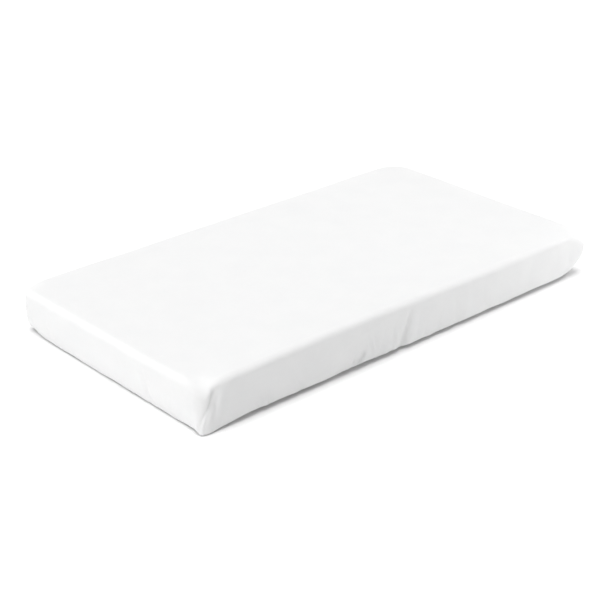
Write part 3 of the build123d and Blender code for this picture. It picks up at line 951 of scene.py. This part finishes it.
def make_coils(material):
    """Each half's coil: one bent plastic wire, whose turns show as teeth that meet in the middle
    of the zip."""
    for name, side in SIDES:
        low, high, inner_y, outer_y = zip_side("zip_coil_" + name)
        turns = int((high.x - low.x) / COIL_PITCH) - 1
        t = np.arange(turns * COIL_TURN_POINTS + 1) / COIL_TURN_POINTS
        across, up = (
            np.sign(v) * np.abs(v) ** COIL_SQUARENESS
            for v in (np.cos(TURN * t), np.sin(TURN * t))
        )
        half_y = (outer_y - inner_y) / 2 - COIL_WIRE_R
        half_z = (high.z - low.z) / 2 - COIL_WIRE_R
        start = COIL_PITCH if side > 0 else COIL_PITCH / 2
        line = np.stack([
            low.x + start + COIL_PITCH * t,
            side * (inner_y + COIL_WIRE_R + half_y + half_y * across),
            (low.z + high.z) / 2 + half_z * up,
        ], -1)
        along = np.gradient(line, axis=0)
        along /= np.linalg.norm(along, axis=1)[:, None]
        first = np.cross(along, [1.0, 0, 0])
        first /= np.linalg.norm(first, axis=1)[:, None]
        second = np.cross(along, first)
        sides = np.linspace(0, TURN, COIL_WIRE_SIDES, endpoint=False)[None, :, None]
        tube = line[:, None] + COIL_WIRE_R * (
            first[:, None] * np.cos(sides) + second[:, None] * np.sin(sides)
        )
        numbers = np.arange(len(t) * COIL_WIRE_SIDES).reshape(len(t), -1)
        faces = [*quads(numbers, True), numbers[0], numbers[-1][::-1]]
        new_piece(
            "coil_" + name, tube.reshape(-1, 3), faces, material, "zip_coil", "zip_coil_" + name,
        )


def make_end_tabs(material):
    """A strip of cloth sewn over each end of the zip."""
    low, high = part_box("zip_end_tabs")
    half = END_TAB_LENGTH / 2
    tabs = []
    for name, centre_x in (("foot", low.x + half), ("head", high.x - half)):
        x, y = np.meshgrid(np.linspace(-half, half, 25), np.linspace(low.y, high.y, 33))
        rounded = np.clip(np.abs(y) - (high.y - END_TAB_CORNER), 0, None)
        x = x * (1 - rounded / END_TAB_LENGTH)
        edge = bump(np.abs(x) - half + 1.6 * MM, 0.7 * MM)
        z = low.z + 0.12 * MM * edge + 0.05 * MM * np.sin(TURN * y / (5 * MM))
        upper = grid3(x + centre_x, y, z + (high.z - low.z) * 0.9)
        lower = grid3(x + centre_x, y, z)
        tab = new_piece(
            "end_tab_" + name, *thick_grid(upper, lower), material, "zip_tape",
            "zip_end_tabs",
        )
        keep_cloth(tab, upper, lower)
        tabs.append(tab)
    return tabs


# ---- materials


class Nodes:
    """Short calls for building a material's nodes. Its patterns lie in object coordinates, or in
    the cloth's own coordinates kept on the mesh."""

    def __init__(self, name, roughness, cloth=False, **sockets):
        self.material = bpy.data.materials.new(name)
        self.material.use_nodes = True
        self.tree = self.material.node_tree
        self.shader = self.tree.nodes["Principled BSDF"]
        self.shader.inputs["Roughness"].default_value = roughness
        for socket, value in sockets.items():
            self.shader.inputs[socket.replace("_", " ")].default_value = value
        if cloth:
            cloth_node = self.node("ShaderNodeAttribute", attribute_name="cloth")
            self.place = cloth_node.outputs["Vector"]
        else:
            self.place = self.node("ShaderNodeTexCoord").outputs["Object"]

    def node(self, kind, inputs=(), **settings):
        node = self.tree.nodes.new(kind)
        for key, value in settings.items():
            setattr(node, key, value)
        for key, value in dict(inputs).items():
            if isinstance(value, bpy.types.NodeSocket):
                self.tree.links.new(value, node.inputs[key])
            else:
                node.inputs[key].default_value = value
        return node

    def math(self, operation, *values):
        return self.node("ShaderNodeMath", dict(enumerate(values)), operation=operation).outputs[0]

    def noise(self, size, detail=3.0, roughness=0.5, squeeze=1.0):
        """Noise with lumps of about the given size in metres, from 0 to 1. It is longer along X
        where it is squeezed to less than 1."""
        place = self.place
        if squeeze < 1:
            squeezed = self.node("ShaderNodeMapping", {"Vector": place, "Scale": (squeeze, 1, 1)})
            place = squeezed.outputs[0]
        return self.node(
            "ShaderNodeTexNoise",
            {"Vector": place, "Scale": 1 / size, "Detail": detail, "Roughness": roughness},
        ).outputs["Fac"]

    def spread(self, value, low, high, start=0.25, end=0.75):
        """Stretches a value, or the middle half of noise, to run from low to high."""
        return self.node(
            "ShaderNodeMapRange",
            {"Value": value, "From Min": start, "From Max": end, "To Min": low, "To Max": high},
        ).outputs["Result"]

    def wave(self, value, size):
        """A sine wave whose half is as long as the given size."""
        return self.math("SINE", self.math("MULTIPLY", value, math.pi / size))

    def along(self, axis):
        return self.node("ShaderNodeSeparateXYZ", {"Vector": self.place}).outputs[axis]

    def ribs(self, axis, size):
        """Rounded ribs across one axis, from 0 to 1, each of the given width."""
        return self.math("ABSOLUTE", self.wave(self.along(axis), size))

    def weave(self, thread):
        """The height of a plain weave: threads that go over and under each other."""
        u, v = (self.wave(self.along(axis), thread) for axis in "XY")
        over = self.math("MULTIPLY_ADD", self.math("MULTIPLY", u, v), 1.5, 0.5)
        over = self.math("MINIMUM", self.math("MAXIMUM", over, 0.0), 1.0)
        along = self.math("MULTIPLY", self.math("ABSOLUTE", u), over)
        across = self.math("MULTIPLY", self.math("ABSOLUTE", v), self.math("SUBTRACT", 1.0, over))
        return self.math("ADD", along, across)

    def cells(self, size):
        """Cell noise: the distance from each cell's middle."""
        cells = self.node("ShaderNodeTexVoronoi", {"Vector": self.place, "Scale": 1 / size})
        return cells.outputs["Distance"]

    def blend(self, factor, low, high):
        """The base colour, from low to high as the factor goes from 0 to 1."""
        mix = self.node("ShaderNodeMix", data_type="RGBA")
        self.tree.links.new(factor, mix.inputs["Factor"])
        mix.inputs[6].default_value = (*low, 1)
        mix.inputs[7].default_value = (*high, 1)
        self.tree.links.new(mix.outputs[2], self.shader.inputs["Base Color"])

    def colour(self, noise, low, high):
        """The base colour, from low to high over the middle half of noise."""
        self.blend(self.spread(noise, 0, 1), low, high)

    def rough(self, noise, low, high):
        self.tree.links.new(self.spread(noise, low, high), self.shader.inputs["Roughness"])

    def bumps(self, *layers):
        """Adds bump layers of (height, depth in metres), one on another, and gives the material."""
        normal = None
        for height, depth in layers:
            inputs = {"Height": height, "Distance": depth, "Strength": 1.0}
            if normal:
                inputs["Normal"] = normal
            normal = self.node("ShaderNodeBump", inputs).outputs["Normal"]
        self.tree.links.new(normal, self.shader.inputs["Normal"])
        return self.material


def cotton_material():
    """White percale: a fine plain weave with slubs, a little warmer in places."""
    n = Nodes(
        "white_cotton", 0.85, cloth=True, Sheen_Weight=0.08, Sheen_Roughness=0.5,
        Specular_IOR_Level=0.15,
    )
    weave = n.weave(0.42 * MM)
    slub = n.noise(6 * MM, 4.0)
    broad = n.noise(45 * MM, 2.0)
    blend = n.math("ADD", n.math("MULTIPLY", slub, 0.4), n.math("MULTIPLY", broad, 0.6))
    n.colour(blend, (0.788, 0.79, 0.793), (0.818, 0.818, 0.816))
    n.rough(slub, 0.8, 0.92)
    return n.bumps((broad, 0.9 * MM), (slub, 0.18 * MM), (weave, 0.06 * MM))


def thread_material():
    """Twisted white sewing thread."""
    n = Nodes("sewing_thread", 0.55, Sheen_Weight=0.1, Sheen_Roughness=0.4)
    strand = n.noise(0.5 * MM, 2.0)
    n.colour(strand, (0.74, 0.74, 0.735), (0.84, 0.84, 0.835))
    n.rough(strand, 0.45, 0.65)
    return n.bumps((strand, 0.06 * MM))


def case_material():
    """Wipe-clean coated cloth: grey-white, with a fine pressed grain and faint rubbing."""
    n = Nodes("coated_cloth", 0.42, Specular_IOR_Level=0.45)
    grain = n.cells(1.1 * MM)
    thread = n.weave(0.6 * MM)
    rubbed = n.noise(38 * MM, 5.0, 0.6)
    n.colour(rubbed, (0.60, 0.61, 0.62), (0.68, 0.685, 0.69))
    n.rough(rubbed, 0.34, 0.52)
    swell = n.noise(18 * MM, 2.0)
    return n.bumps((swell, 0.5 * MM), (thread, 0.06 * MM), (grain, 0.14 * MM))


def foam_material():
    """Open-cell foam: pale cream, with cells of two sizes, shade painted into the small ones'
    hollows.
    """
    n = Nodes("foam", 0.95, Specular_IOR_Level=0.1, Sheen_Weight=0.15, Sheen_Roughness=0.6)
    pores_and_shade = n.cells(1.3 * MM)
    coarse = n.noise(9 * MM)
    # Painted shade: the small cells' dents are bump, and their colour, darkest at each middle, is
    # shade painted in
    n.colour(pores_and_shade, (0.52, 0.49, 0.40), (0.78, 0.75, 0.66))
    n.rough(coarse, 0.9, 1.0)
    return n.bumps((coarse, 0.4 * MM), (pores_and_shade, 0.6 * MM))


def elastic_material():
    """White knitted elastic: ribs along the band, crossed by its rubber cords."""
    n = Nodes("knit_elastic", 0.7, Sheen_Weight=0.1, Sheen_Roughness=0.5)
    knit_and_shade = n.weave(0.7 * MM)
    soil = n.noise(14 * MM)
    # Painted shade: the colour follows the weave's height, darker in the gaps between the threads
    n.colour(knit_and_shade, (0.70, 0.70, 0.68), (0.82, 0.82, 0.80))
    n.rough(soil, 0.62, 0.78)
    return n.bumps((knit_and_shade, 0.14 * MM))


def label_material():
    """A blank woven satin label with fine cross ribs."""
    n = Nodes("label_satin", 0.38, cloth=True, Sheen_Weight=0.12, Sheen_Roughness=0.3)
    rib = n.ribs("Y", 0.25 * MM)
    warp = n.ribs("X", 0.4 * MM)
    shade = n.noise(5 * MM)
    n.colour(shade, (0.76, 0.76, 0.74), (0.84, 0.84, 0.83))
    n.rough(shade, 0.3, 0.48)
    return n.bumps((warp, 0.02 * MM), (rib, 0.05 * MM))


def tape_material():
    """Zip tape: a dense twill in pale grey."""
    n = Nodes("zip_tape", 0.8, Sheen_Weight=0.1, Sheen_Roughness=0.5)
    slant = n.math("ADD", n.along("X"), n.along("Y"))
    twill = n.math("ABSOLUTE", n.wave(slant, 0.55 * MM))
    rows = n.ribs("Y", 0.8 * MM)
    worn = n.noise(11 * MM, 4.0)
    n.colour(worn, (0.50, 0.505, 0.51), (0.60, 0.605, 0.61))
    n.rough(worn, 0.7, 0.88)
    return n.bumps((rows, 0.05 * MM), (twill, 0.09 * MM))


def coil_material():
    """Zip coil: white nylon, slightly cloudy, with drawn lines."""
    n = Nodes(
        "nylon_coil", 0.35, Subsurface_Weight=0.1, Subsurface_Radius=(MM, MM, MM),
        Specular_IOR_Level=0.5,
    )
    drawn = n.noise(0.8 * MM, 2.0)
    n.colour(drawn, (0.66, 0.665, 0.67), (0.76, 0.76, 0.765))
    n.rough(drawn, 0.28, 0.45)
    return n.bumps((drawn, 0.03 * MM))


def metal_material():
    """Satin nickel over a casting, rubbed brighter along its edges, finely scratched."""
    n = Nodes("satin_nickel", 0.3, Metallic=1.0)
    edge = n.node("ShaderNodeNewGeometry").outputs["Pointiness"]
    cast = n.noise(2.2 * MM, 4.0)
    scratch = n.noise(0.4 * MM, squeeze=0.12)
    wear = n.spread(edge, 0, 1, 0.48, 0.56)
    tone = n.math("ADD", n.math("MULTIPLY", wear, 0.6), n.math("MULTIPLY", cast, 0.4))
    n.blend(tone, (0.44, 0.43, 0.41), (0.78, 0.76, 0.72))
    n.rough(scratch, 0.2, 0.42)
    return n.bumps((cast, 0.06 * MM), (scratch, 0.02 * MM))


def rubber_material():
    """Soft clear-grey silicone, a little dusty."""
    n = Nodes(
        "grip_silicone", 0.5, Subsurface_Weight=0.25, Subsurface_Radius=(2 * MM, 2 * MM, 2 * MM),
        Specular_IOR_Level=0.45,
    )
    dust = n.noise(2.4 * MM, 5.0, 0.65)
    n.colour(dust, (0.46, 0.47, 0.48), (0.58, 0.585, 0.59))
    n.rough(dust, 0.38, 0.66)
    return n.bumps((dust, 0.07 * MM))


# ---- scene

make_camera()
make_stage()

LABEL = label_material()
TAPE = tape_material()

outer = CoverGrid(FINE)
inner = CoverGrid(1, outer)
cover = make_cover(outer, inner, cotton_material())
corner_stitches, hem_stitches = make_seams(outer, thread_material())
make_elastic(inner, elastic_material())
case_top, case_band, case_panels = make_case(inner, case_material())
foam = make_foam(inner, foam_material())
make_dots(rubber_material())
tapes = make_tapes(TAPE)
make_coils(coil_material())
tabs = make_end_tabs(TAPE)
case_label = make_label(
    "case_care_label", (-210 * MM, 138 * MM), (56 * MM, 28 * MM),
    lambda x, y: underside(x, y) - 0.05 * MM, LABEL, "case_label", 0.7 * MM,
)
label_low, label_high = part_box("cover_label")
cover_label = make_label(
    "cover_care_label",
    ((label_low.x + label_high.x) / 2, (label_low.y + label_high.y) / 2),
    (label_high.x - label_low.x, label_high.y - label_low.y),
    lambda x, y: 1.9 * MM + 0 * x, LABEL, "cover_label", 0.9 * MM,
)

METAL = metal_material()
for node in ("zip_top_stops", "zip_bottom_stop", "zip_slider", "zip_pull"):
    mesh = NODES[node].data
    mesh.materials.clear()
    mesh.materials.append(METAL)
